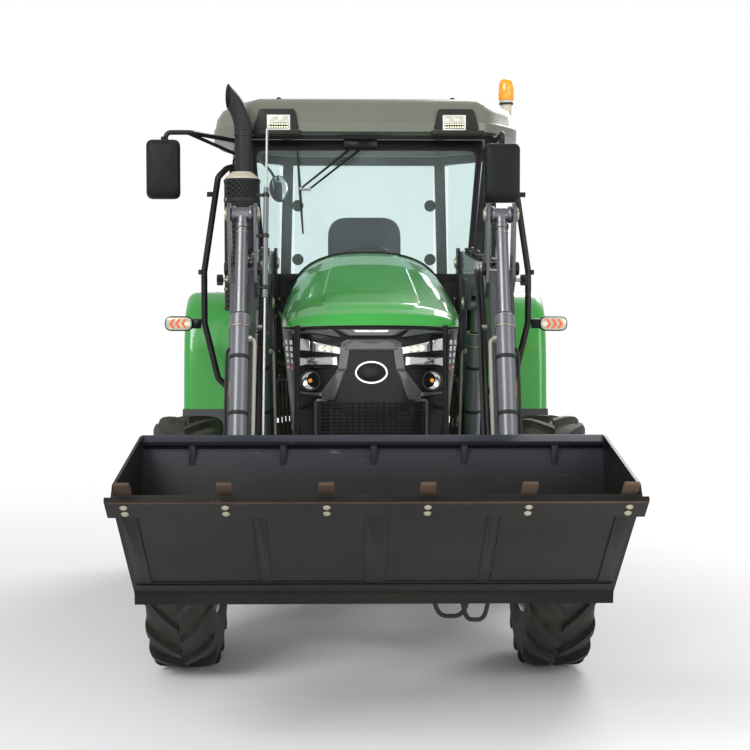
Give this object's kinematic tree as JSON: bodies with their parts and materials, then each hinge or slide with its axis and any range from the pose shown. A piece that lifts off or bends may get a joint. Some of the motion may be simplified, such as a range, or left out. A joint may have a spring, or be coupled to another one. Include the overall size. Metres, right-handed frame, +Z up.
{
  "type": "farm tractor with front loader",
  "caption": "Four-wheel-drive farm tractor with a glazed cab, an opening hood, steered front wheels and a front loader whose arms and bucket are moved by cylinders.",
  "frame": {"origin": "middle of the tractor's footprint, on the ground", "axes": "+Z up; the tractor faces -Y; +X is its own left side"},
  "size_m": [2.116, 4.9133, 2.872],
  "materials": {
    "green_paint": "gloss",
    "black_paint": "satin",
    "bucket_paint": "satin",
    "arm_paint": "satin",
    "cylinder_paint": "satin",
    "roof_plastic": "satin",
    "black_plastic": "matte",
    "castings": "painted",
    "rims": "satin",
    "tyres": "dusty",
    "glass": "clear",
    "lamps": "clear",
    "amber": "gloss",
    "rod_chrome": "polished",
    "tooth_steel": "worn",
    "steel": "worn",
    "seat_fabric": "matte",
    "exhaust_steel": "matte"
  },
  "bodies": {
    "chassis": {"front_axle_housing": "castings", "front_frame": "castings", "engine_block": "castings", "drivetrain": "castings", "fuel_tank": "black_plastic", "tool_box": "black_paint", "steps": "black_paint", "hood_sides": "green_paint", "nose_mask": "black_plastic", "headlamps": "lamps", "nose_grille": "black_plastic", "front_guard": "black_paint", "cab_floor": "black_paint", "cab_frame": "black_paint", "cab_rails": "black_paint", "windscreen": "glass", "cab_glass": "glass", "roof": "roof_plastic", "seat": "seat_fabric", "console": "black_plastic", "steering_wheel": "black_plastic", "fenders": "green_paint", "fender_skirts": "black_plastic", "muffler": "exhaust_steel", "exhaust_pipe": "exhaust_steel", "mirror_arms": "black_paint", "mirrors": "black_plastic", "grab_rails": "black_paint", "cab_lamps": "amber", "beacon": "amber", "loader_mounts": "black_paint", "hitch_case": "castings", "link_bracket": "black_paint", "drawbar": "black_paint", "pto_shaft": "steel"},
    "knuckle_left": {"knuckle_left": "castings"},
    "front_wheel_left": {"front_tyre_left": "tyres", "front_rim_left": "rims"},
    "rear_wheel_left": {"rear_tyre_left": "tyres", "rear_rim_left": "rims"},
    "door_left": {"door_frame_left": "black_paint", "door_glass_left": "glass"},
    "knuckle_right": {"knuckle_right": "castings"},
    "front_wheel_right": {"front_tyre_right": "tyres", "front_rim_right": "rims"},
    "rear_wheel_right": {"rear_tyre_right": "tyres", "rear_rim_right": "rims"},
    "door_right": {"door_frame_right": "black_paint", "door_glass_right": "glass"},
    "hood": {"hood": "green_paint"},
    "boom": {"boom": "arm_paint"},
    "bucket": {"bucket": "bucket_paint", "bucket_teeth": "tooth_steel"},
    "lift_barrels": {"lift_barrels": "cylinder_paint"},
    "lift_rods": {"lift_rods": "rod_chrome"},
    "dump_barrels": {"dump_barrels": "cylinder_paint"},
    "dump_rods": {"dump_rods": "rod_chrome"},
    "lower_links": {"lower_links": "black_paint"},
    "hitch_arms": {"hitch_arms": "black_paint"},
    "hitch_rods": {"hitch_rods": "black_paint"}
  },
  "joints": [
    {"name": "steer_left", "type": "hinge", "parent": "chassis", "child": "knuckle_left", "pos_m": [0.66, -0.57, 0.5525], "axis": [0, 0, 1], "range_deg": [-45, 45]},
    {"name": "front_wheel_left_spin", "type": "hinge", "parent": "knuckle_left", "child": "front_wheel_left", "pos_m": [0.795, -0.57, 0.5525], "axis": [1, 0, 0], "continuous": true},
    {"name": "rear_wheel_left_spin", "type": "hinge", "parent": "chassis", "child": "rear_wheel_left", "pos_m": [0.775, 1.63, 0.7375], "axis": [1, 0, 0], "continuous": true},
    {"name": "door_left_hinge", "type": "hinge", "parent": "chassis", "child": "door_left", "pos_m": [0.764, 1.44, 1.9], "axis": [0, 0, 1], "range_deg": [0, 75]},
    {"name": "steer_right", "type": "hinge", "parent": "chassis", "child": "knuckle_right", "pos_m": [-0.66, -0.57, 0.5525], "axis": [0, 0, 1], "range_deg": [-45, 45]},
    {"name": "front_wheel_right_spin", "type": "hinge", "parent": "knuckle_right", "child": "front_wheel_right", "pos_m": [-0.795, -0.57, 0.5525], "axis": [1, 0, 0], "continuous": true},
    {"name": "rear_wheel_right_spin", "type": "hinge", "parent": "chassis", "child": "rear_wheel_right", "pos_m": [-0.775, 1.63, 0.7375], "axis": [1, 0, 0], "continuous": true},
    {"name": "door_right_hinge", "type": "hinge", "parent": "chassis", "child": "door_right", "pos_m": [-0.764, 1.44, 1.9], "axis": [0, 0, -1], "range_deg": [0, 75]},
    {"name": "hood_hinge", "type": "hinge", "parent": "chassis", "child": "hood", "pos_m": [0, 0.38, 1.698], "axis": [-1, 0, 0], "range_deg": [0, 45]},
    {"name": "boom_lift", "type": "hinge", "parent": "chassis", "child": "boom", "pos_m": [0, 0.3, 1.8], "axis": [-1, 0, 0], "range_deg": [-13.5, 58]},
    {"name": "bucket_tilt", "type": "hinge", "parent": "boom", "child": "bucket", "pos_m": [0, -1.745, 0.635], "axis": [1, 0, 0], "range_deg": [0, 110]},
    {"name": "lift_barrel_swing", "type": "hinge", "parent": "chassis", "child": "lift_barrels", "pos_m": [0, 0.13, 0.7], "axis": [-1, 0, 0], "range_deg": [-1.79, 7.69]},
    {"name": "lift_rod_slide", "type": "slide", "parent": "lift_barrels", "child": "lift_rods", "axis": [0, -0.3162, 0.9487], "range_m": [-0.1059, 0.4515]},
    {"name": "dump_barrel_swing", "type": "hinge", "parent": "bucket", "child": "dump_barrels", "pos_m": [0, -1.69, 0.805], "axis": [1, 0, 0], "range_deg": [-120.05, 0]},
    {"name": "dump_rod_slide", "type": "slide", "parent": "dump_barrels", "child": "dump_rods", "axis": [0, 0.3348, 0.9423], "range_m": [0, 0.2218]},
    {"name": "lower_link_lift", "type": "hinge", "parent": "chassis", "child": "lower_links", "pos_m": [0, 1.75, 0.478], "axis": [1, 0, 0], "range_deg": [-12, 30]},
    {"name": "hitch_arm_lift", "type": "hinge", "parent": "chassis", "child": "hitch_arms", "pos_m": [0, 1.85, 1.09], "axis": [1, 0, 0], "range_deg": [-13.71, 34.27]},
    {"name": "hitch_rod_swing", "type": "hinge", "parent": "hitch_arms", "child": "hitch_rods", "pos_m": [0, 2.175, 1.025], "axis": [1, 0, 0], "range_deg": [-35.5, 14.2]}
  ],
  "couplings": [
    {"joint": "steer_right", "follows": "steer_left", "ratio": 1},
    {"joint": "lift_barrel_swing", "follows": "boom_lift", "ratio": 0.13},
    {"joint": "lift_rod_slide", "follows": "boom_lift", "m_per_rad": 0.445},
    {"joint": "dump_barrel_swing", "follows": "bucket_tilt", "ratio": -1.07},
    {"joint": "dump_rod_slide", "follows": "bucket_tilt", "m_per_rad": 0.115},
    {"joint": "hitch_arm_lift", "follows": "lower_link_lift", "ratio": 1.12},
    {"joint": "hitch_rod_swing", "follows": "lower_link_lift", "ratio": -1.16}
  ]
}
